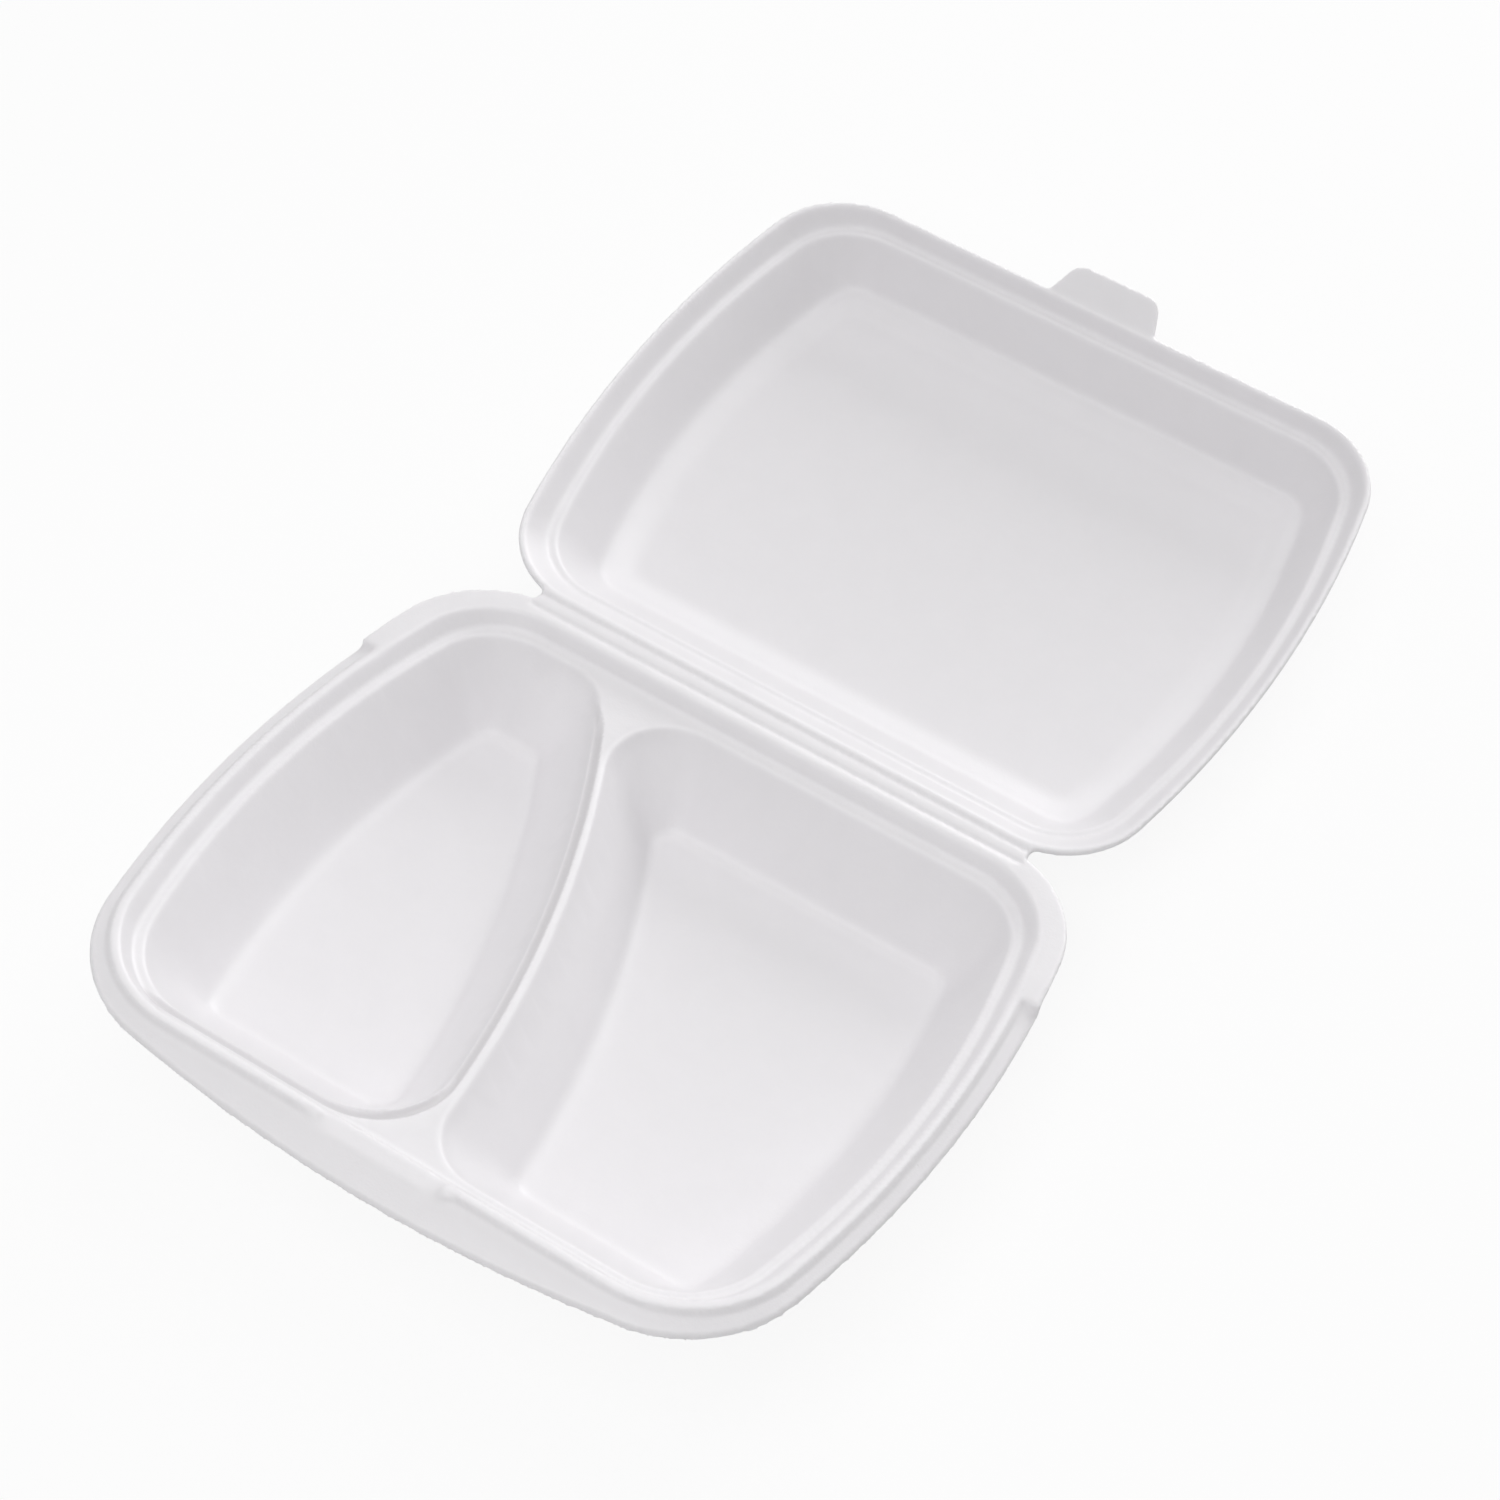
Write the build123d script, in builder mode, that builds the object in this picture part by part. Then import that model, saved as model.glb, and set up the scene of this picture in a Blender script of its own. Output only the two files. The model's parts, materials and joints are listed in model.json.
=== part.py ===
"""Hinged meal box of white foamed plastic sheet, lying open with its lid laid back.

The box is one pressed sheet. A tray with two food compartments and a domed lid meet at a
creased hinge along the back, and a tab on the lid goes over a gap in the tray's front rim.
An open box is heavier behind than in front of the middle of its floors, so it lies tipped
back, on the rounded back edge of the floors and on the near edge of the lid's panel.
X runs along the hinge, Y from the front to the back and Z up. The origin lies under the
middle of the open box, on the surface that it lies on.
"""
from build123d import *

import os
from math import acos, atan2, cos, hypot, radians, sin, tan

# Sheet, hinge and rest pose
sheet = 2.4
shell_growth = 1.3
lid_tilt = 10.0
closing_gap = 0.6
hinge_split = 0.4
hinge_half_length = 85.6
crease_distance = 2.5
crease_width = 2.0
crease_depth = 1.2

# Tray rim: a narrow crest with a ledge inside it and a sloping skirt outside it
crest_half_width = 113.2
crest_bow = 13.6
crest_back = 4.9
crest_front = 195.2
crest_back_radius = 30.0
crest_front_radius = 36.0
crest_width = 2.4
ledge_drop = 5.0
ledge_slope_run = 3.4
ledge_width = 2.6
step_drop = 2.0
step_run = 0.6
groove_width = 1.2
skirt_run = 18.0
skirt_drop = 7.2
lip_overhang = 6.3
lip_front_overhang = 2.0
lip_front_bow = 10.5
corner_flange_length = 46.7
tab_gap_reach = 2.4
nib_radius = 1.9
nib_inset = 1.6
nib_offset = 1.3

# Compartments and the curved divider between them
floor_drop = 31.0
wall_run_back = 16.9
wall_run_front = 22.4
wall_run_side = 17.5
floor_bow = 8.0
floor_corner_radius = 6.0
floor_edge_radius = 4.0
left_back_width = 39.8
left_middle_width = 92.5
left_front_width = 94.5
divider_top_width = 4.2
divider_wall_run = 19.0
left_back_inner_radius = 18.0
left_front_inner_radius = 26.0
right_back_inner_radius = 20.0
right_front_inner_radius = 18.0

# Lid: a lip, a steep slope to a ledge, a wall, a shoulder and a flat panel
lid_side_overhang = 1.8
lid_bow = 12.6
lid_near = 3.4
lid_front_setback = 1.2
lid_corner_radius = 30.0
lid_lip_width = 1.8
lid_slope_drop = 7.0
lid_slope_run_side = 4.2
lid_slope_run_near = 7.4
lid_slope_run_far = 2.2
lid_ledge_width = 2.5
lid_wall_drop = 18.0
lid_wall_run_side = 11.3
lid_wall_run_near = 15.9
lid_wall_run_far = 7.9
lid_foot_bow = 10.6
lid_foot_radius = 9.0
foot_ledge_width = 3.2
shoulder_drop = 1.6
shoulder_run_side = 3.8
shoulder_run_near = 4.7
shoulder_run_far = 5.0
panel_bow = 9.6
panel_radius = 6.0

# Tab at the lid's free edge, bent up from the lid's rim
tab_base_half_width = 19.3
tab_tip_half_width = 15.0
tab_clearance = 0.4
tab_length = 11.6
tab_rise = 24.0
tab_corner_radius = 6.0
tab_root = 3.0

# Distances of the rim's edges from the crest's centre line, outwards positive, and its heights
crest_edge = crest_width / 2
groove_start = crest_edge + step_run
skirt_start = groove_start + groove_width
ledge_start = -crest_edge - ledge_slope_run
pocket_inset = ledge_width - ledge_start
skirt_bottom = -step_drop - skirt_drop
cavity_top = -step_drop - sheet
ledge_bottom = -ledge_drop - sheet
floor_bottom = -floor_drop - sheet
slope_share = ledge_slope_run / ledge_drop
slope_growth = sheet * hypot(1, slope_share)
skirt_share = skirt_drop / skirt_run
skirt_thickness = sheet * hypot(1, skirt_share)
tab_gap_half_width = tab_base_half_width + tab_clearance
flange_back = -hinge_split / 2
flange_front = -corner_flange_length
trim_width = 2 * (crest_half_width + lip_overhang + skirt_run)

# Lines that bound both compartments at the ledge and at the floor
pocket_back = -crest_back - pocket_inset
pocket_front = pocket_inset - crest_front
pocket_middle = (pocket_back + pocket_front) / 2
pocket_half_width = crest_half_width - pocket_inset
pocket_corner_x = pocket_half_width - crest_bow
floor_back = pocket_back - wall_run_back
floor_front = pocket_front + wall_run_front
floor_middle = (floor_back + floor_front) / 2
floor_half_width = pocket_half_width - wall_run_side
floor_corner_x = floor_half_width - floor_bow
rim_back_radius = crest_back_radius - pocket_inset
rim_front_radius = crest_front_radius - pocket_inset
divider_back_x = left_back_width + divider_top_width / 2 - pocket_corner_x
divider_middle_x = left_middle_width + divider_top_width / 2 - pocket_half_width
divider_front_x = left_front_width + divider_top_width / 2 - pocket_corner_x
divider_bulge = divider_middle_x - (divider_back_x + divider_front_x) / 2
shell_edge_radius = floor_edge_radius + sheet

# The lid's outer edge covers the crest, and its other edges are set in at the side, near and far
lid_half_width = crest_half_width + lid_side_overhang
lid_far = crest_front - lid_front_setback
lip_inner = (lid_lip_width, lid_lip_width, lid_lip_width)
slope_runs = (lid_slope_run_side, lid_slope_run_near, lid_slope_run_far)
wall_runs = (lid_wall_run_side, lid_wall_run_near, lid_wall_run_far)
shoulder_runs = (shoulder_run_side, shoulder_run_near, shoulder_run_far)
ledge_outer = tuple(inset + run for inset, run in zip(lip_inner, slope_runs))
ledge_inner = tuple(inset + lid_ledge_width for inset in ledge_outer)
foot = tuple(inset + run for inset, run in zip(ledge_inner, wall_runs))
foot_inner = tuple(inset + foot_ledge_width for inset in foot)
panel = tuple(inset + run for inset, run in zip(foot_inner, shoulder_runs))
lid_ledge_height = -lid_slope_drop
foot_height = lid_ledge_height - lid_wall_drop
panel_height = foot_height - shoulder_drop
lip_radius = lid_corner_radius - lid_lip_width
ledge_outer_radius = lip_radius - lid_slope_run_far
ledge_inner_radius = ledge_outer_radius - lid_ledge_width
foot_inner_radius = lid_foot_radius - foot_ledge_width

# Edges of the lid's hollow, and the upper and lower edge of each of its stages
lip_edge = (0, *lip_inner, lid_bow, lip_radius)
ledge_outer_edge = (lid_ledge_height, *ledge_outer, lid_bow, ledge_outer_radius)
ledge_inner_edge = (lid_ledge_height, *ledge_inner, lid_bow, ledge_inner_radius)
foot_edge = (foot_height, *foot, lid_foot_bow, lid_foot_radius)
foot_inner_edge = (foot_height, *foot_inner, lid_foot_bow, foot_inner_radius)
panel_edge = (panel_height, *panel, panel_bow, panel_radius)
lid_stages = [(lip_edge, ledge_outer_edge), (ledge_inner_edge, foot_edge), (foot_inner_edge, panel_edge)]

# Points that the box lies on, as distances from the hinge along and across the tray and the lid
wall_angle = atan2(floor_drop - ledge_drop, wall_run_back)
edge_y = floor_back + shell_growth - shell_edge_radius * tan(wall_angle / 2)
edge_z = floor_bottom + shell_edge_radius - closing_gap / 2
panel_y = lid_near + panel[1] - shell_growth
panel_z = panel_height - sheet - closing_gap / 2

# The tray tips back by the angle at which both points are equally low
tilt = radians(lid_tilt)
rise = edge_z - panel_y * sin(tilt) - panel_z * cos(tilt)
reach = panel_y * cos(tilt) - panel_z * sin(tilt) - edge_y
tip = atan2(reach, rise) - acos(shell_edge_radius / hypot(rise, reach))
lean = tilt - tip
hinge_height = -panel_y * sin(lean) - panel_z * cos(lean)

# The front lip and the tab's end are equally far from the origin
lip_front = lip_front_overhang + lip_front_bow
lip_front_bottom = cavity_top - skirt_share * (lip_front - skirt_start) + sheet - skirt_thickness
rise_angle = radians(tab_rise)
tab_end_y = lid_far + tab_length * cos(rise_angle) + sheet * sin(rise_angle)
tab_end_z = tab_length * sin(rise_angle) - sheet * cos(rise_angle) - closing_gap / 2
front_reach = (crest_front + lip_front) * cos(tip) + (closing_gap / 2 - lip_front_bottom) * sin(tip)
back_reach = tab_end_y * cos(lean) - tab_end_z * sin(lean)
hinge_y = (front_reach - back_reach) / 2

# Frames in both rim planes, with y away from the front and their origins at the hinge
hinge = (0, hinge_y, hinge_height)
tray_frame = Plane(hinge, x_dir=(1, 0, 0), z_dir=(0, sin(tip), cos(tip))).offset(-closing_gap / 2)
lid_frame = Plane(hinge, x_dir=(1, 0, 0), z_dir=(0, -sin(lean), cos(lean))).offset(-closing_gap / 2)
tab_foot = lid_frame.from_local_coords((0, lid_far, 0))
tab_normal = (0, -sin(lean + rise_angle), cos(lean + rise_angle))
tab_frame = Plane(tab_foot, x_dir=(1, 0, 0), z_dir=tab_normal)
tray_up = Axis(tray_frame.origin, tray_frame.z_dir)

os.makedirs("parts", exist_ok=True)


def outline(plane, corners, bulges, radii, growth=0.0):
    """A four-sided face with rounded corners.

    corners go round from one to the next, bulges[i] is a point that the side after corner i
    passes through (None for a straight side), and growth moves the whole edge outwards.
    """
    with BuildSketch(plane) as sketch:
        with BuildLine():
            for index, start in enumerate(corners):
                end = corners[(index + 1) % len(corners)]
                if bulges[index] is None:
                    Line(start, end)
                else:
                    ThreePointArc(start, bulges[index], end)
        make_face()
        for corner, radius in zip(corners, radii):
            fillet(sketch.vertices().sort_by_distance(corner)[0], radius)
        if growth:
            offset(amount=growth)
    return sketch.sketch


def bowed_outline(plane, half_width, bow, near, far, radii, growth=0.0, far_bow=0.0):
    """An outline that is mirrored about X = 0, with its sides bowed out by bow.

    near and far are the signed y values of its straight ends, and far_bow bows the far one.
    """
    corner_x = half_width - bow
    middle = (near + far) / 2
    corners = [(-corner_x, near), (corner_x, near), (corner_x, far), (-corner_x, far)]
    far_bulge = (0, far + far_bow) if far_bow else None
    bulges = [None, (half_width, middle), far_bulge, (-half_width, middle)]
    near_radius, far_radius = radii
    return outline(plane, corners, bulges, [near_radius, near_radius, far_radius, far_radius], growth)


def rim_outline(height, growth):
    """The tray's rim crest at a height from the crest, moved outwards by growth."""
    return bowed_outline(
        tray_frame.offset(height),
        crest_half_width + growth,
        crest_bow,
        growth - crest_back,
        -crest_front - growth,
        (crest_back_radius + growth, crest_front_radius + growth),
    )


def lip_outline(height):
    """The tray's outer edge, with its front bowed out."""
    return bowed_outline(
        tray_frame.offset(height),
        crest_half_width + lip_overhang,
        crest_bow,
        lip_overhang - crest_back,
        -crest_front - lip_front_overhang,
        (crest_back_radius + lip_overhang, crest_front_radius + lip_overhang),
        far_bow=-lip_front_bow,
    )


def lid_outline(height, side_inset, near_inset, far_inset, bow, radius, growth=0.0):
    """An outline of the lid, moved in from its outer edge."""
    return bowed_outline(
        lid_frame.offset(height),
        lid_half_width - side_inset,
        bow,
        lid_near + near_inset,
        lid_far - far_inset,
        (radius, radius),
        growth,
    )


def divider_x(y):
    """X of the divider's centre line at a y value, on a parabola through its three points."""
    share = (y - pocket_back) / (pocket_front - pocket_back)
    chord = divider_back_x + share * (divider_front_x - divider_back_x)
    return chord + 4 * share * (1 - share) * divider_bulge


def pocket_outline(side, height, at_floor, growth):
    """The edge of the left (side -1) or right (side +1) compartment at its ledge or floor."""
    if at_floor:
        back, middle, front = floor_back, floor_middle, floor_front
        outer_corner, outer_bulge = floor_corner_x, floor_half_width
        inner_offset = side * (divider_top_width / 2 + divider_wall_run)
        radii = [floor_corner_radius] * 4
    else:
        back, middle, front = pocket_back, pocket_middle, pocket_front
        outer_corner, outer_bulge = pocket_corner_x, pocket_half_width
        inner_offset = side * divider_top_width / 2
        radii = [right_back_inner_radius, rim_back_radius, rim_front_radius, right_front_inner_radius]
        if side < 0:
            radii = [left_back_inner_radius, rim_back_radius, rim_front_radius, left_front_inner_radius]
    corners = [
        (divider_x(back) + inner_offset, back),
        (side * outer_corner, back),
        (side * outer_corner, front),
        (divider_x(front) + inner_offset, front),
    ]
    bulges = [None, (side * outer_bulge, middle), None, (divider_x(middle) + inner_offset, middle)]
    return outline(tray_frame.offset(height), corners, bulges, radii, growth)


def pocket_solid(side, top, bottom, growth, edge_radius):
    """A compartment's body between two heights, with its floor edge rounded."""
    ledge_edge = pocket_outline(side, top, False, growth)
    floor_edge = pocket_outline(side, bottom, True, growth)
    with BuildPart() as body:
        loft([ledge_edge, floor_edge], ruled=True)
        fillet(body.faces().sort_by(tray_up)[0].edges(), edge_radius)
    return body.part


def crease(plane, distance, half_length):
    """A V groove along X, pressed into a face."""
    start = plane.from_local_coords((-half_length, distance, 0))
    with BuildPart() as groove:
        with BuildSketch(Plane(start, x_dir=plane.y_dir, z_dir=plane.x_dir)):
            with BuildLine():
                Polyline((-crease_width / 2, 0), (0, -crease_depth), (crease_width / 2, 0), close=True)
            make_face()
        extrude(amount=2 * half_length)
    return groove.part


# Space under the tray's skirt, and under the flat flanges beside the hinge
with BuildPart() as tray_underside:
    loft(
        [
            rim_outline(skirt_bottom, skirt_start + skirt_run - skirt_thickness / skirt_share),
            rim_outline(cavity_top, skirt_start - (skirt_thickness - sheet) / skirt_share),
        ],
        ruled=True,
    )
    with BuildSketch(tray_frame.offset(skirt_bottom)):
        with Locations((0, (flange_front + sheet + skirt_run) / 2)):
            Rectangle(trim_width, skirt_run - flange_front - sheet)
    extrude(amount=-skirt_bottom - sheet)
    # The ledge and the slope up to the crest keep their thickness
    loft(
        [
            rim_outline(ledge_bottom, ledge_start + slope_growth - slope_share * sheet),
            rim_outline(0, slope_growth - crest_edge),
        ],
        ruled=True,
        mode=Mode.SUBTRACT,
    )

with BuildPart() as tray:
    # Skirt, step and crest, then the flat flanges beside the hinge
    loft(
        [
            rim_outline(skirt_bottom, skirt_start + skirt_run),
            rim_outline(-step_drop, skirt_start),
        ],
        ruled=True,
    )
    loft([rim_outline(-step_drop, groove_start), rim_outline(0, crest_edge)], ruled=True)
    with BuildSketch(tray_frame.offset(skirt_bottom)):
        with Locations((0, (flange_front + skirt_run) / 2)):
            Rectangle(trim_width, skirt_run - flange_front)
    extrude(amount=-skirt_bottom)
    extrude(lip_outline(skirt_bottom), amount=-skirt_bottom, mode=Mode.INTERSECT)
    # Gap in the crest for the lid's tab
    with BuildSketch(tray_frame.offset(-step_drop)):
        with Locations((0, -crest_front)):
            Rectangle(2 * tab_gap_half_width, 2 * tab_gap_reach)
    extrude(amount=step_drop, mode=Mode.SUBTRACT)
    # Round nib where the crest ends to the right of the gap
    with BuildSketch(tray_frame.offset(-step_drop - sheet / 2)):
        with Locations((tab_gap_half_width + nib_inset, -crest_front - nib_offset)):
            Circle(nib_radius)
    extrude(amount=step_drop + sheet / 2)
    # Slope from the crest down to the ledge, and the sheet's hollow underside
    loft([rim_outline(-ledge_drop, ledge_start), rim_outline(0, -crest_edge)], ruled=True, mode=Mode.SUBTRACT)
    add(tray_underside.part, mode=Mode.SUBTRACT)
    # Compartments, each a shell that hangs from the ledge
    for side in (-1, 1):
        add(pocket_solid(side, ledge_bottom, floor_bottom, shell_growth, shell_edge_radius))
    for side in (-1, 1):
        add(pocket_solid(side, -ledge_drop, -floor_drop, 0, floor_edge_radius), mode=Mode.SUBTRACT)
    # The sheet ends at the hinge line, with a crease beside it
    with BuildSketch(tray_frame.offset(skirt_bottom)):
        with Locations((0, flange_back + skirt_run)):
            Rectangle(trim_width, 2 * skirt_run)
    extrude(amount=-skirt_bottom, mode=Mode.SUBTRACT)
    add(crease(tray_frame, -crease_distance, hinge_half_length), mode=Mode.SUBTRACT)
tray.part.label = "tray"
export_step(tray.part, "parts/tray.step")

with BuildPart() as lid:
    # Lip and hinge half lie in the lid's rim plane, and the tab rises from it
    extrude(lid_outline(-sheet, 0, 0, 0, lid_bow, lid_corner_radius), amount=sheet)
    with BuildSketch(lid_frame.offset(-sheet)):
        with Locations((0, (hinge_split / 2 + lid_near + lid_lip_width) / 2)):
            Rectangle(2 * hinge_half_length, lid_near + lid_lip_width - hinge_split / 2)
    extrude(amount=sheet)
    with BuildSketch(tab_frame.offset(-sheet)) as tab_face:
        with BuildLine():
            Polyline(
                (-tab_base_half_width, -tab_root),
                (tab_base_half_width, -tab_root),
                (tab_base_half_width, 0),
                (tab_tip_half_width, tab_length),
                (-tab_tip_half_width, tab_length),
                (-tab_base_half_width, 0),
                close=True,
            )
        make_face()
        fillet(tab_face.vertices().group_by(Axis.Y)[-1], tab_corner_radius)
    extrude(amount=sheet)
    # Shell of the dome, then its hollow
    for upper, lower in lid_stages:
        upper_height, *upper_edge = upper
        lower_height, *lower_edge = lower
        loft(
            [
                lid_outline(upper_height - sheet, *upper_edge, shell_growth),
                lid_outline(lower_height - sheet, *lower_edge, shell_growth),
            ],
            ruled=True,
        )
    for upper, lower in lid_stages:
        loft([lid_outline(*upper), lid_outline(*lower)], ruled=True, mode=Mode.SUBTRACT)
    add(crease(lid_frame, crease_distance, hinge_half_length), mode=Mode.SUBTRACT)
lid.part.label = "lid"
export_step(lid.part, "parts/lid.step")
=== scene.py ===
"""Hinged meal box of white foamed plastic sheet, lying open with its lid laid back.

The box is one pressed sheet, so the tray, the lid and the strip between them are fused, softened
as pressed foam is, and cut again at the two creases.
"""

import json
from math import cos, radians, sin

import bmesh
import bpy
import numpy as np
from mathutils import Euler, Matrix, Vector


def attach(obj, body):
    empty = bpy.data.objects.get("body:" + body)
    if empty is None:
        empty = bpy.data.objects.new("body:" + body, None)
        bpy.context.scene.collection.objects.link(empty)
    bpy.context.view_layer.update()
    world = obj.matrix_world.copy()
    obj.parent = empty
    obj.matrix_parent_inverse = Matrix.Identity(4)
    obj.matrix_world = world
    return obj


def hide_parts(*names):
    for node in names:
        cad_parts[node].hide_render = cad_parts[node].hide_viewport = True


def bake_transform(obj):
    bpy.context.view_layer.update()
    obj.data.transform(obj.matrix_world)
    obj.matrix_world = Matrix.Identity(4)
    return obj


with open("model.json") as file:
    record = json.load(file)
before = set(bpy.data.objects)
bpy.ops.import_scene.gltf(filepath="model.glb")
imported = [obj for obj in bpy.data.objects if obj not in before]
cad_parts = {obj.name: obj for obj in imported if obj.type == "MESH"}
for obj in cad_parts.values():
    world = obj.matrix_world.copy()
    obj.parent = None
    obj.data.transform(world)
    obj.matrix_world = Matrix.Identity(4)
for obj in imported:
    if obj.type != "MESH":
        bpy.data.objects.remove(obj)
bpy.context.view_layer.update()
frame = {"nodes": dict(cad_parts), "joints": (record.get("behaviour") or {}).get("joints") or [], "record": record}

# Sheet and hinge, in metres
SHEET = 0.0024
RIM_DROP = 0.0003
CREASE_DISTANCE = 0.0025
STRIP_OVERLAP = 0.0012
STRIP_HALF_LENGTH = 0.0856
WEB_HALF_LENGTH = 0.0860
HINGE_ZONE = 0.0060

# Softening of the pressed edges, and the size of the meshes
VOXEL = 0.0006
GRID_TURN = Euler((radians(27), radians(19), radians(33))).to_matrix().to_4x4()
SOFT_FACTOR = 0.5
SOFT_STEPS = 6
PIECE_TRIANGLES = 190000
SHARP_ANGLE = radians(55)
WELD_DISTANCE = 1e-6
CUT_DISTANCE = 1e-7

# Places that the press leaves softer: the feet of the compartments' side walls and of the lid's walls,
# the cut edges of the lips, and the ends of the crest and the flanges, with their radius and share
WIDE_SOFT_STEPS = 60
FLOOR_EDGE_TOP = -0.014
FLOOR_EDGE_FULL = -0.022
SIDE_WALL_BACK = (-0.055, -0.085)
SIDE_WALL_FRONT = (-0.172, -0.150)
END_WALL_SHARE = 0.1
LID_EDGE_TOP = -0.014
LID_EDGE_FULL = -0.021
LID_FAR_WALL = (0.165, 0.120)
LID_FAR_SHARE = 0.2
SOFT_ENDS = [
    ((-0.0197, -0.1952, -0.001), 0.006, 0.5),
    ((0.0197, -0.1952, -0.001), 0.006, 0.5),
    ((-0.1135, -0.0467, -0.003), 0.011, 0.25),
    ((0.1135, -0.0467, -0.003), 0.011, 0.25),
]
LIP_LOWEST = -0.012
LIP_SLOPE = (0.9, 0.6)
LIP_SHARE = 0.25

# Line pressed beside the left compartment, along the divider and the front, in the tray's rim plane
DIVIDER_POINTS = [(-0.0526, -0.0121), (-0.0135, -0.10005), (0.0021, -0.1880)]
DIVIDER_BACK_RADIUS = 0.018
DIVIDER_FRONT_RADIUS = 0.026
LINE_OFFSET = 0.0005
LINE_HALF_WIDTH = 0.0015
LINE_DEPTH = 0.0011
LINE_LOWEST = -0.0085
LINE_FULL = -0.0062
LINE_WALL_SIDE = -0.0035
LINE_FRONT_START = -0.090
LINE_BACK_END = -0.018
LINE_FADE = 0.015

# Painted light and shade of the folds: painted highlights at edges and on the lid's shoulder, painted light on the
# divider's walls, painted shade in grooves near the rim and in the pressed line
FOLD_STEPS = 15
FOLD_SIZE = 0.0003
RIM_DEPTH = 0.0040
GROOVE_SHADE = 0.6
LINE_SHADE = 0.9
SHOULDER_FLAT = (0.9985, 0.985)
SHOULDER_STEEP = (0.70, 0.87)
SHOULDER_HIGHLIGHT = 0.35
SHOULDER_NEAR_HIGHLIGHT = 0.6
SHOULDER_NEAR = (0.075, 0.045)
SHOULDER_RIGHT = (0.055, 0.085)
SHOULDER_RIGHT_END = (0.200, 0.060)
SHOULDER_FADE_STEPS = 60
DIVIDER_WALL_LIGHT = 0.6
DIVIDER_WALL_WIDTH = 0.026
DIVIDER_WALL_FOOT = (-0.031, -0.026)
DIVIDER_WALL_TOP = (-0.006, -0.010)

# Foam: colours of the painted shade in grooves, of the plain sheet and of painted highlights, then mottle, sheen
# and cells
GROOVE_SHADE_COLOUR = (0.690, 0.672, 0.690, 1)
SHEET_COLOUR = (0.864, 0.848, 0.868, 1)
HIGHLIGHT_COLOUR = (0.945, 0.930, 0.950, 1)
MOTTLE_SCALE = 90.0
MOTTLE_DETAIL = 3.0
MOTTLE_RANGE = (0.985, 1.015)
ROUGHNESS_RANGE = (0.35, 0.47)
CELL_SCALE = 1600.0
CELL_STRENGTH = 0.10
CELL_HEIGHT = 0.0002
GRAIN_SCALE = 420.0
GRAIN_DETAIL = 2.0
GRAIN_STRENGTH = 0.12
GRAIN_HEIGHT = 0.0004

# Studio: the lamps have a place in metres, a size in metres and a power in watts
FLOOR_HALF = 4.0
FLOOR_COLOUR = (0.9, 0.9, 0.9, 1)
FLOOR_GLOW_SHARE = 0.9
WORLD_LIGHT = 0.3
WORLD_SEEN = 0.91
LAMPS = {
    "low_back_lamp": ((0, 1.45, 0.39), 0.7, 9.6),
    "high_back_lamp": ((0, 0.75, 1.3), 1.2, 4.9),
    "front_lamp": ((0, -0.5, 0.9), 0.6, 3.5),
    "left_lamp": ((-1.23, 0, 0.86), 0.8, 1.4),
    "right_lamp": ((1.23, -0.3, 0.5), 0.8, 0.7),
}

# Camera, set against the tray's rim: x along the hinge, y away from the front, z up
PHOTO_SIZE = 1500
FOCAL_LENGTH_PIXELS = 3769.7
SENSOR = 36.0
VIEW_TARGET = (0.0, -0.060, 0.0)
TARGET_PIXEL = (664.0, 844.2)
VIEW_DISTANCE = 1.0688
VIEW_AZIMUTH = radians(25.55)
VIEW_ELEVATION = radians(45.85)
VIEW_ROLL = radians(9.2)
CLIP_START = 0.05

hinge = Vector(frame["joints"][0]["pos_m"])


def rim_frame(mount_name):
    """Frame of a rim plane, from the face that lies parallel to it, with its origin at the hinge."""
    mount = next(m for m in frame["record"]["mounts"] if m["name"] == mount_name)
    x_axis = Vector((1, 0, 0))
    z_axis = -Vector(mount["axis"]).normalized()
    y_axis = z_axis.cross(x_axis)
    axes = Matrix((x_axis, y_axis, z_axis)).transposed().to_4x4()
    return Matrix.Translation(hinge - RIM_DROP * z_axis) @ axes


tray_rim = rim_frame("underside")
lid_rim = rim_frame("lid_panel")
tray_crease = tray_rim @ Vector((0, -CREASE_DISTANCE, 0))
lid_crease = lid_rim @ Vector((0, CREASE_DISTANCE, 0))


# Meshes

def evaluated_mesh(mesh, *modifiers):
    """The mesh with modifiers applied, each given as its type and its settings."""
    carrier = bpy.data.objects.new("carrier", mesh)
    bpy.context.scene.collection.objects.link(carrier)
    for kind, settings in modifiers:
        modifier = carrier.modifiers.new(kind, kind)
        for name, value in settings.items():
            setattr(modifier, name, value)
    depsgraph = bpy.context.evaluated_depsgraph_get()
    result = bpy.data.meshes.new_from_object(carrier.evaluated_get(depsgraph))
    bpy.data.objects.remove(carrier)
    return result


def add_strip(builder):
    """The sheet that bridges the hinge line between the tray's half and the lid's half."""
    section = [
        tray_rim @ Vector((0, -STRIP_OVERLAP, 0)),
        tray_rim @ Vector((0, -STRIP_OVERLAP, -SHEET)),
        lid_rim @ Vector((0, STRIP_OVERLAP, -SHEET)),
        lid_rim @ Vector((0, STRIP_OVERLAP, 0)),
    ]
    ends = []
    for x in (-STRIP_HALF_LENGTH, STRIP_HALF_LENGTH):
        ends.append([builder.verts.new((x, point.y, point.z)) for point in section])
    left, right = ends
    builder.faces.new(reversed(left))
    builder.faces.new(right)
    for index in range(len(section)):
        after = (index + 1) % len(section)
        builder.faces.new((left[index], left[after], right[after], right[index]))


def vertex_values(mesh, field):
    """A vector for each vertex of a mesh: its place (co) or its normal."""
    values = np.empty(3 * len(mesh.vertices), np.float32)
    mesh.vertices.foreach_get(field, values)
    return values.reshape(-1, 3).astype(np.float64)


def in_frame(matrix, points):
    """Points in the coordinates of a frame."""
    inverse = np.array(matrix.inverted())
    return points @ inverse[:3, :3].T + inverse[:3, 3]


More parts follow.
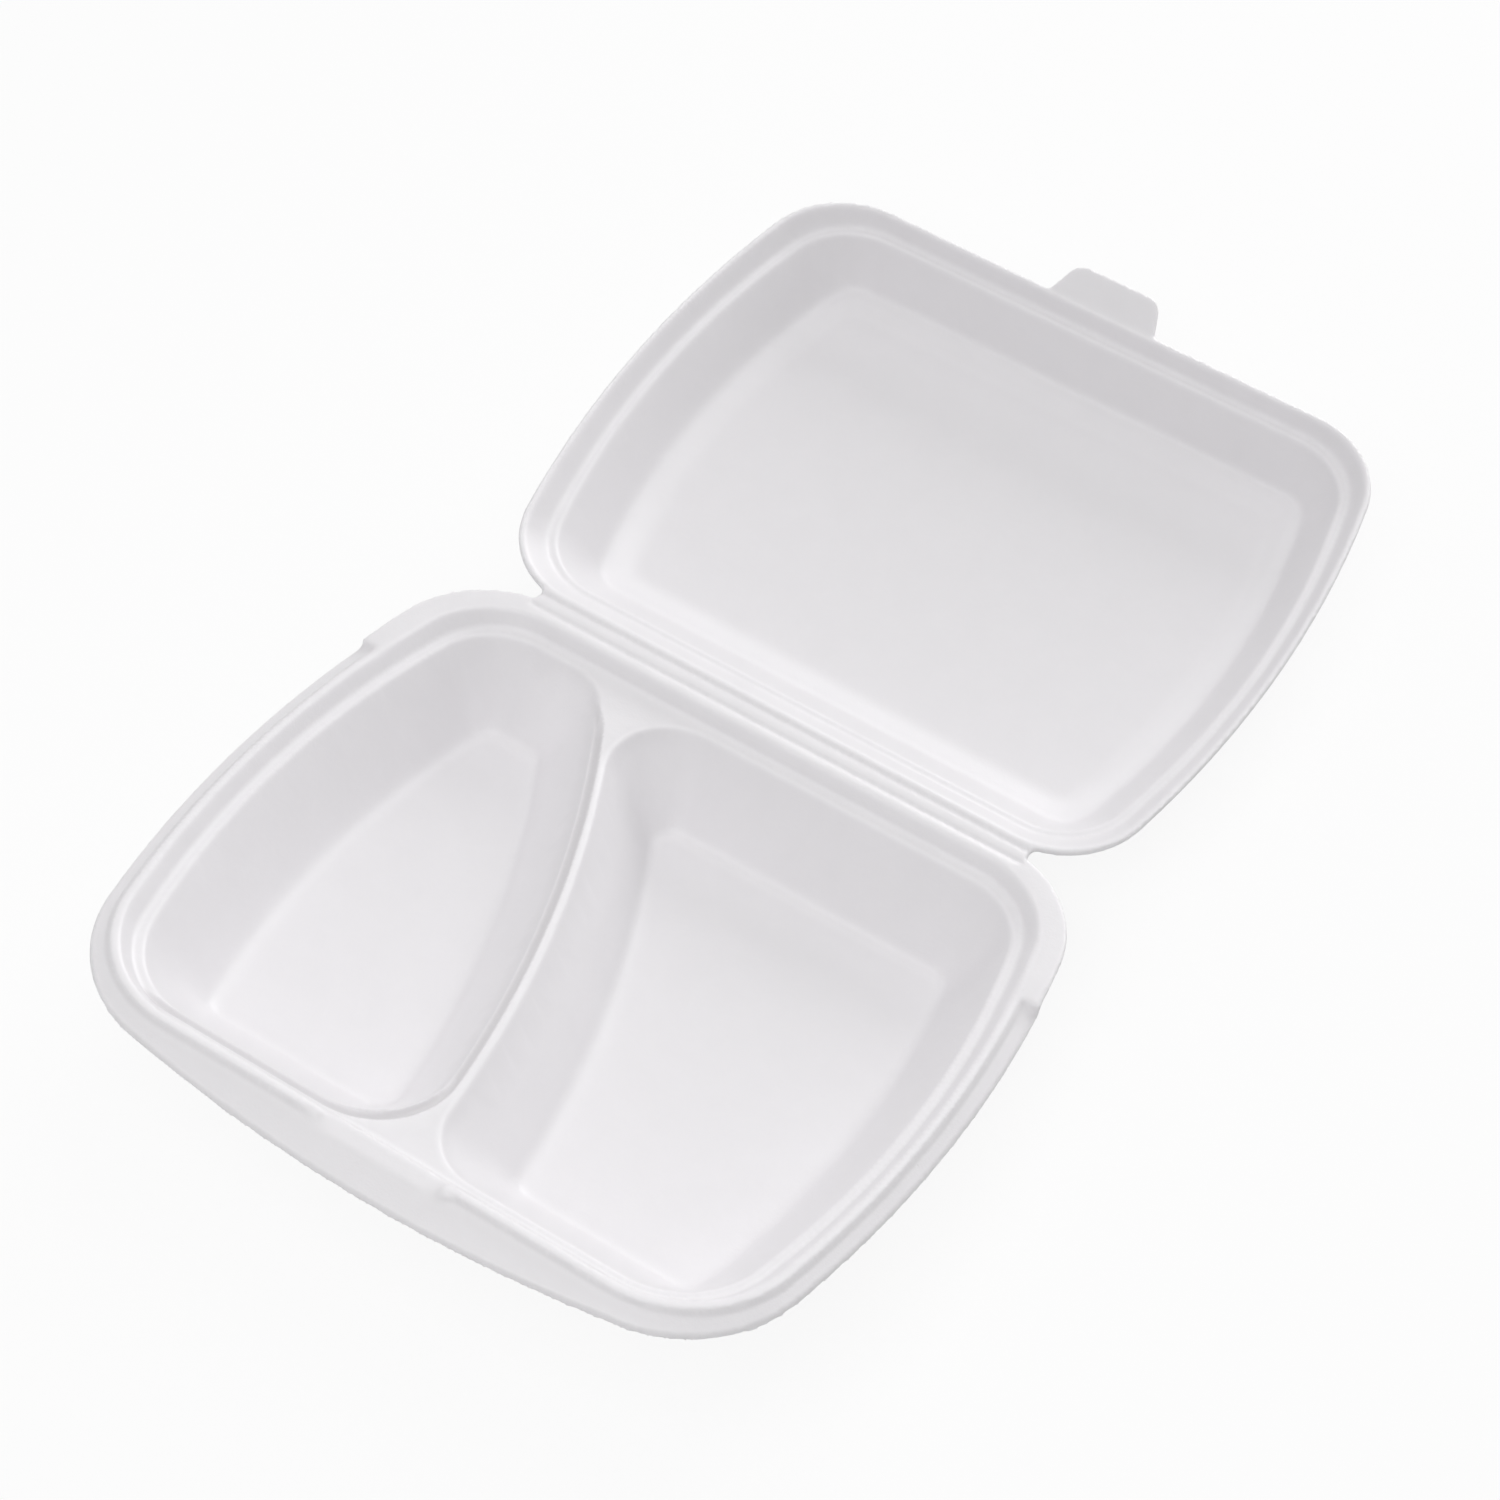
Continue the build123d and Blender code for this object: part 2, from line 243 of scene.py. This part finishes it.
def height_over_rim(points):
    """Height of each point over the rim plane of its own half, and whether that is the tray's."""
    on_tray = in_frame(tray_rim, points)
    on_lid = in_frame(lid_rim, points)
    is_tray = on_tray[:, 1] + on_lid[:, 1] < 0
    return np.where(is_tray, on_tray[:, 2], on_lid[:, 2]), is_tray


def fade(values, start, full):
    """0 at start and before it, 1 at full and after it."""
    return np.clip((values - start) / (full - start), 0, 1)


def softened(points, edges, weights, steps):
    """Points, or other rows of values, moved towards the mean of their neighbours by their weights."""
    ends = np.concatenate((edges[:, 0], edges[:, 1]))
    others = np.concatenate((edges[:, 1], edges[:, 0]))
    count = np.bincount(ends, minlength=len(points))
    for _ in range(steps):
        sums = [np.bincount(ends, column[others], len(points)) for column in points.T]
        middles = np.stack(sums, axis=1) / count[:, None]
        points = points + (SOFT_FACTOR * weights)[:, None] * (middles - points)
    return points


def lip_weights(points, normals):
    """1 at the cut edges of the lips, which face away from the middle of their half, and 0 elsewhere."""
    height, is_tray = height_over_rim(points)
    on_tray = in_frame(tray_rim, points)
    middle = np.where(is_tray[:, None], on_tray[is_tray].mean(axis=0), on_tray[~is_tray].mean(axis=0))
    facing = normals @ np.array(tray_rim.to_3x3())
    outwards = np.sum((on_tray - middle)[:, :2] * facing[:, :2], axis=1) > 0
    return outwards * (height > LIP_LOWEST) * fade(np.abs(facing[:, 2]), *LIP_SLOPE)


def wide_soft_weights(points, normals):
    """Weights of the places that the press leaves softer than the other edges."""
    height, is_tray = height_over_rim(points)
    on_tray = in_frame(tray_rim, points)
    beside_floor = fade(on_tray[:, 1], *SIDE_WALL_BACK) * fade(on_tray[:, 1], *SIDE_WALL_FRONT)
    share = END_WALL_SHARE + (1 - END_WALL_SHARE) * beside_floor
    tray_weights = share * fade(height, FLOOR_EDGE_TOP, FLOOR_EDGE_FULL)
    before_far_wall = fade(in_frame(lid_rim, points)[:, 1], *LID_FAR_WALL)
    lid_share = LID_FAR_SHARE + (1 - LID_FAR_SHARE) * before_far_wall
    lid_weights = lid_share * fade(height, LID_EDGE_TOP, LID_EDGE_FULL)
    weights = np.where(is_tray, tray_weights, lid_weights)
    for place, radius, end_share in SOFT_ENDS:
        distance = np.linalg.norm(on_tray - np.array(place), axis=1)
        weights = np.maximum(weights, end_share * fade(distance, radius, radius / 2))
    return np.maximum(weights, LIP_SHARE * lip_weights(points, normals))


def circle_through(a, b, c):
    """Centre and radius of the circle through three points of a plane."""
    rows = 2 * np.array([np.subtract(b, a), np.subtract(c, a)])
    squares = np.array([np.dot(b, b) - np.dot(a, a), np.dot(c, c) - np.dot(a, a)])
    centre = np.linalg.solve(rows, squares)
    return centre, np.linalg.norm(centre - np.array(a))


def rounded_corner(first, second, radius):
    """Distance outside a corner with two sides, given the distances outside each, with a round edge."""
    first, second = first + radius, second + radius
    outside = np.hypot(np.maximum(first, 0), np.maximum(second, 0))
    return outside + np.minimum(np.maximum(first, second), 0) - radius


def beyond_divider_edge(points):
    """Distance of each point from the left compartment's edge at the divider, above 0 outside it."""
    x, y, _ = in_frame(tray_rim, points).T
    centre, radius = circle_through(*DIVIDER_POINTS)
    return np.hypot(x - centre[0], y - centre[1]) - radius


def pressed_line(points):
    """Share of each point in the line beside the left compartment, and in the wall's edge below it."""
    x, y, z = in_frame(tray_rim, points).T
    beyond_divider = beyond_divider_edge(points)
    beyond_back = y - DIVIDER_POINTS[0][1]
    beyond_front = DIVIDER_POINTS[2][1] - y
    beyond = np.maximum(
        rounded_corner(beyond_divider, beyond_back, DIVIDER_BACK_RADIUS),
        rounded_corner(beyond_divider, beyond_front, DIVIDER_FRONT_RADIUS),
    )
    along = fade(x, LINE_FRONT_START, LINE_FRONT_START + LINE_FADE)
    along = along * fade(y, LINE_BACK_END, LINE_BACK_END - LINE_FADE) * (z < -RIM_DEPTH)
    across = (beyond - LINE_OFFSET) / LINE_HALF_WIDTH
    share = np.clip(1 - across ** 2, 0, 1) * fade(z, LINE_LOWEST, LINE_FULL)
    edge = (beyond < LINE_OFFSET) * (beyond > LINE_WALL_SIDE)
    return share * along, edge * along


def divider_wall(points):
    """How far each point belongs to the walls of the divider, where light is painted."""
    height, is_tray = height_over_rim(points)
    reach = fade(np.abs(beyond_divider_edge(points)), DIVIDER_WALL_WIDTH, DIVIDER_WALL_WIDTH / 2)
    return is_tray * reach * fade(height, *DIVIDER_WALL_FOOT) * fade(height, *DIVIDER_WALL_TOP)


def painted_shoulder_highlight(points, edges, normals):
    """Painted highlight on the shoulder round the lid's panel, which is palest at the near and right sides."""
    height, is_tray = height_over_rim(points)
    upright = normals @ np.array(lid_rim.col[2].to_3d())
    shoulder = fade(upright, *SHOULDER_FLAT) * fade(upright, *SHOULDER_STEEP)
    x, y, _ = in_frame(lid_rim, points).T
    right = fade(x, *SHOULDER_RIGHT) * fade(y, *SHOULDER_RIGHT_END)
    near_highlight = SHOULDER_NEAR_HIGHLIGHT * np.maximum(fade(y, *SHOULDER_NEAR), right)
    painted_light = ~is_tray * (height < LID_EDGE_FULL) * shoulder * (SHOULDER_HIGHLIGHT + near_highlight)
    return softened(painted_light[:, None], edges, np.ones(len(points)), SHOULDER_FADE_STEPS)[:, 0]


def painted_fold_light(points, edges, normals):
    """Painted light and shade at each point: a painted highlight (above 0) at edges, painted shade (below 0) in
    grooves near the rim.
    """
    inwards = softened(points, edges, np.ones(len(points)), FOLD_STEPS) - points
    fold = np.clip(np.sum(inwards * normals, axis=1) / FOLD_SIZE, -1, 1)
    height, _ = height_over_rim(points)
    near_rim = height > -RIM_DEPTH
    return np.where((fold > 0) & near_rim, -GROOVE_SHADE * fold, np.abs(fold))


def solids_with_strip():
    """The tray's and the lid's solids and the strip between them, in one mesh."""
    builder = bmesh.new()
    for node in frame["nodes"].values():
        builder.from_mesh(node.data)
    bmesh.ops.remove_doubles(builder, verts=builder.verts, dist=WELD_DISTANCE)
    add_strip(builder)
    bmesh.ops.recalc_face_normals(builder, faces=builder.faces)
    mesh = bpy.data.meshes.new("solids")
    builder.to_mesh(mesh)
    builder.free()
    return mesh


def fused_sheet():
    """The whole box as one closed mesh, with the soft edges of pressed foam and its painted light and shade."""
    solids = solids_with_strip()
    solids.transform(GRID_TURN)
    mesh = evaluated_mesh(solids, ("REMESH", {"mode": "VOXEL", "voxel_size": VOXEL}))
    mesh.transform(GRID_TURN.inverted())
    edges = np.empty(2 * len(mesh.edges), np.int32)
    mesh.edges.foreach_get("vertices", edges)
    edges = edges.reshape(-1, 2)
    points = vertex_values(mesh, "co")
    points = softened(points, edges, np.ones(len(points)), SOFT_STEPS)
    mesh.vertices.foreach_set("co", points.astype(np.float32).ravel())
    mesh.update()
    weights = wide_soft_weights(points, vertex_values(mesh, "normal"))
    points = softened(points, edges, weights, WIDE_SOFT_STEPS)
    line, line_edge = pressed_line(points)
    points -= LINE_DEPTH * line[:, None] * np.array(tray_rim.col[2].to_3d())
    mesh.vertices.foreach_set("co", points.astype(np.float32).ravel())
    mesh.update()
    normals = vertex_values(mesh, "normal")
    # Painted highlights at edges and on the lid's shoulder, painted light on the divider's walls and painted shade
    # in grooves near the rim
    painted_light = np.maximum(painted_fold_light(points, edges, normals), painted_shoulder_highlight(points, edges, normals))
    painted_light = np.maximum(painted_light, DIVIDER_WALL_LIGHT * divider_wall(points))
    # Painted shade in the pressed line beside the left compartment; no painted light on the wall's edge below it
    painted_light = np.where(line > 0, -LINE_SHADE * line, (1 - line_edge) * painted_light)
    layer = mesh.attributes.new("painted_light", "FLOAT", "POINT")
    layer.data.foreach_set("value", painted_light.astype(np.float32))
    return mesh


def cut_at_hinge(builder):
    """Add edges along both creases, along the hinge line and at the ends of the strip that bends."""
    middle_normal = tray_rim.col[1].to_3d() + lid_rim.col[1].to_3d()
    planes = [
        (tray_crease, tray_rim.col[1].to_3d()),
        (lid_crease, lid_rim.col[1].to_3d()),
        (hinge, middle_normal.normalized()),
        (Vector((-WEB_HALF_LENGTH, 0, 0)), Vector((1, 0, 0))),
        (Vector((WEB_HALF_LENGTH, 0, 0)), Vector((1, 0, 0))),
    ]
    for point, normal in planes:
        faces = [f for f in builder.faces if abs(f.calc_center_median().y - hinge.y) < HINGE_ZONE]
        edges = {edge for face in faces for edge in face.edges}
        verts = {vert for face in faces for vert in face.verts}
        bmesh.ops.bisect_plane(
            builder, geom=[*verts, *edges, *faces], plane_co=point, plane_no=normal, dist=CUT_DISTANCE
        )


def part_of_box(point):
    """Which piece a point of the sheet belongs to."""
    along_tray = tray_rim.inverted() @ point
    along_lid = lid_rim.inverted() @ point
    between = along_tray.y > -CREASE_DISTANCE and along_lid.y < CREASE_DISTANCE
    if between and abs(point.x) < WEB_HALF_LENGTH:
        return "hinge_web"
    if along_tray.y + along_lid.y < 0:
        return "tray_sheet"
    return "lid_sheet"


def make_pieces(sheet):
    """Cut the sheet into its three pieces, close their cut edges and thin out their triangles."""
    whole = bmesh.new()
    whole.from_mesh(sheet)
    cut_at_hinge(whole)
    names = [part_of_box(face.calc_center_median()) for face in whole.faces]
    pieces = {}
    for name in ("tray_sheet", "lid_sheet", "hinge_web"):
        piece = whole.copy()
        others = [face for face, owner in zip(piece.faces, names) if owner != name]
        bmesh.ops.delete(piece, geom=others, context="FACES")
        open_edges = [edge for edge in piece.edges if edge.is_boundary]
        bmesh.ops.holes_fill(piece, edges=open_edges, sides=0)
        bmesh.ops.triangulate(piece, faces=piece.faces)
        mesh = bpy.data.meshes.new(name)
        piece.to_mesh(mesh)
        piece.free()
        ratio = min(1.0, PIECE_TRIANGLES / len(mesh.polygons))
        mesh = evaluated_mesh(mesh, ("DECIMATE", {"ratio": ratio}))
        mesh.name = name
        mesh.shade_smooth()
        mesh.set_sharp_from_angle(angle=SHARP_ANGLE)
        obj = bpy.data.objects.new(name, mesh)
        bpy.context.scene.collection.objects.link(obj)
        pieces[name] = obj
    whole.free()
    return pieces


# Materials

def new_material(name):
    """A material with its node tree, and a function that adds nodes to it."""
    material = bpy.data.materials.new(name)
    material.use_nodes = True
    tree = material.node_tree

    def add(kind, **settings):
        node = tree.nodes.new("ShaderNode" + kind)
        for setting, value in settings.items():
            setattr(node, setting, value)
        return node

    return material, tree, add


def foam_material():
    """White foam sheet: a satin skin over fine cells, a little uneven from the press, with painted light and shade
    on its folds, shoulder and divider walls.
    """
    material, tree, add = new_material("foam")
    shader = tree.nodes["Principled BSDF"]
    coordinates = add("TexCoord")

    def texture(kind, scale, **inputs):
        node = add(kind)
        tree.links.new(coordinates.outputs["Object"], node.inputs["Vector"])
        node.inputs["Scale"].default_value = scale
        for name, value in inputs.items():
            node.inputs[name].default_value = value
        return node

    def mottled(bounds):
        node = add("MapRange")
        node.inputs["To Min"].default_value, node.inputs["To Max"].default_value = bounds
        tree.links.new(mottle.outputs["Fac"], node.inputs["Value"])
        return node

    def bump(height, strength, distance):
        node = add("Bump")
        node.inputs["Strength"].default_value = strength
        node.inputs["Distance"].default_value = distance
        tree.links.new(height, node.inputs["Height"])
        return node

    # Painted light and shade, kept in the mesh's attribute, lighten or darken the base colour
    painted_light = add("Attribute", attribute_name="painted_light")
    level = add("MapRange")
    level.inputs["From Min"].default_value = -1.0
    tree.links.new(painted_light.outputs["Fac"], level.inputs["Value"])
    colour = add("ValToRGB")
    stops = colour.color_ramp.elements
    stops[0].color = GROOVE_SHADE_COLOUR
    stops[1].color = HIGHLIGHT_COLOUR
    stops.new(0.5).color = SHEET_COLOUR
    tree.links.new(level.outputs["Result"], colour.inputs["Fac"])
    mottle = texture("TexNoise", MOTTLE_SCALE, Detail=MOTTLE_DETAIL)
    cloud = mottled(MOTTLE_RANGE)
    clouded = add("VectorMath", operation="SCALE")
    tree.links.new(colour.outputs["Color"], clouded.inputs["Vector"])
    tree.links.new(cloud.outputs["Result"], clouded.inputs["Scale"])
    tree.links.new(clouded.outputs["Vector"], shader.inputs["Base Color"])

    sheen = mottled(ROUGHNESS_RANGE)
    tree.links.new(sheen.outputs["Result"], shader.inputs["Roughness"])

    cells = texture("TexVoronoi", CELL_SCALE)
    grain = texture("TexNoise", GRAIN_SCALE, Detail=GRAIN_DETAIL)
    cell_bump = bump(cells.outputs["Distance"], CELL_STRENGTH, CELL_HEIGHT)
    grain_bump = bump(grain.outputs["Fac"], GRAIN_STRENGTH, GRAIN_HEIGHT)
    tree.links.new(cell_bump.outputs["Normal"], grain_bump.inputs["Normal"])
    tree.links.new(grain_bump.outputs["Normal"], shader.inputs["Normal"])
    return material


def floor_material():
    """Near white for the camera and for reflections, but with the object's shadow."""
    material, tree, add = new_material("studio_floor")
    tree.nodes.clear()
    output = add("OutputMaterial")
    paper = add("BsdfDiffuse")
    paper.inputs["Color"].default_value = FLOOR_COLOUR
    glow = add("Emission")
    mix = add("MixShader")
    path = add("LightPath")
    seen = add("Math", operation="MAXIMUM")
    seen_any = add("Math", operation="MAXIMUM")
    share = add("Math", operation="MULTIPLY")
    share.inputs[1].default_value = FLOOR_GLOW_SHARE
    tree.links.new(path.outputs["Is Camera Ray"], seen.inputs[0])
    tree.links.new(path.outputs["Is Glossy Ray"], seen.inputs[1])
    tree.links.new(seen.outputs["Value"], seen_any.inputs[0])
    tree.links.new(path.outputs["Is Transmission Ray"], seen_any.inputs[1])
    tree.links.new(seen_any.outputs["Value"], share.inputs[0])
    tree.links.new(share.outputs["Value"], mix.inputs["Fac"])
    tree.links.new(paper.outputs["BSDF"], mix.inputs[1])
    tree.links.new(glow.outputs["Emission"], mix.inputs[2])
    tree.links.new(mix.outputs["Shader"], output.inputs["Surface"])
    return material


# Studio

def make_floor():
    """A pale floor under the box."""
    builder = bmesh.new()
    signs = [(-1, -1), (1, -1), (1, 1), (-1, 1)]
    builder.faces.new([builder.verts.new((x * FLOOR_HALF, y * FLOOR_HALF, 0)) for x, y in signs])
    mesh = bpy.data.meshes.new("floor")
    builder.to_mesh(mesh)
    builder.free()
    floor = bpy.data.objects.new("floor", mesh)
    bpy.context.scene.collection.objects.link(floor)
    floor.data.materials.append(floor_material())


def make_world():
    """Soft light from all round, and the far floor's tone where the camera looks past it."""
    world = bpy.data.worlds.new("studio")
    bpy.context.scene.world = world
    world.use_nodes = True
    tree = world.node_tree
    background = tree.nodes["Background"]
    background.inputs["Color"].default_value = (1, 1, 1, 1)
    path = tree.nodes.new("ShaderNodeLightPath")
    level = tree.nodes.new("ShaderNodeMapRange")
    level.inputs["To Min"].default_value = WORLD_LIGHT
    level.inputs["To Max"].default_value = WORLD_SEEN
    tree.links.new(path.outputs["Is Camera Ray"], level.inputs["Value"])
    tree.links.new(level.outputs["Result"], background.inputs["Strength"])


def add_lamp(name, place, size, power):
    """A square area lamp that faces the box."""
    lamp = bpy.data.lights.new(name, "AREA")
    lamp.energy = power
    lamp.size = size
    obj = bpy.data.objects.new(name, lamp)
    obj.location = place
    obj.rotation_euler = (-Vector(place)).to_track_quat("-Z", "Y").to_euler()
    bpy.context.scene.collection.objects.link(obj)


def make_camera():
    """The photograph's camera, from its direction and roll against the tray's rim."""
    back = Vector(
        (
            sin(VIEW_AZIMUTH) * cos(VIEW_ELEVATION),
            -cos(VIEW_AZIMUTH) * cos(VIEW_ELEVATION),
            sin(VIEW_ELEVATION),
        )
    )
    level = Vector((cos(VIEW_AZIMUTH), sin(VIEW_AZIMUTH), 0))
    above = back.cross(level)
    right = cos(VIEW_ROLL) * level + sin(VIEW_ROLL) * above
    up = -sin(VIEW_ROLL) * level + cos(VIEW_ROLL) * above
    metres_per_pixel = VIEW_DISTANCE / FOCAL_LENGTH_PIXELS
    target_right = (TARGET_PIXEL[0] - PHOTO_SIZE / 2) * metres_per_pixel
    target_up = (PHOTO_SIZE / 2 - TARGET_PIXEL[1]) * metres_per_pixel
    place = Vector(VIEW_TARGET) + VIEW_DISTANCE * back - target_right * right - target_up * up
    axes = Matrix((right, up, back)).transposed().to_4x4()
    data = bpy.data.cameras.new("camera")
    data.sensor_width = SENSOR
    data.lens = FOCAL_LENGTH_PIXELS * SENSOR / PHOTO_SIZE
    data.clip_start = CLIP_START
    camera = bpy.data.objects.new("camera", data)
    bpy.context.scene.collection.objects.link(camera)
    camera.matrix_world = tray_rim @ Matrix.Translation(place) @ axes
    bpy.context.scene.camera = camera


pieces = make_pieces(fused_sheet())
foam = foam_material()
for piece in pieces.values():
    piece.data.materials.clear()
    piece.data.materials.append(foam)
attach(pieces["tray_sheet"], "tray")
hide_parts("tray")
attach(pieces["lid_sheet"], "lid")
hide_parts("lid")
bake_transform(pieces["hinge_web"])

make_floor()
make_world()
for lamp_name, (place, size, power) in LAMPS.items():
    add_lamp(lamp_name, place, size, power)
make_camera()
bpy.context.scene.view_settings.view_transform = "Standard"
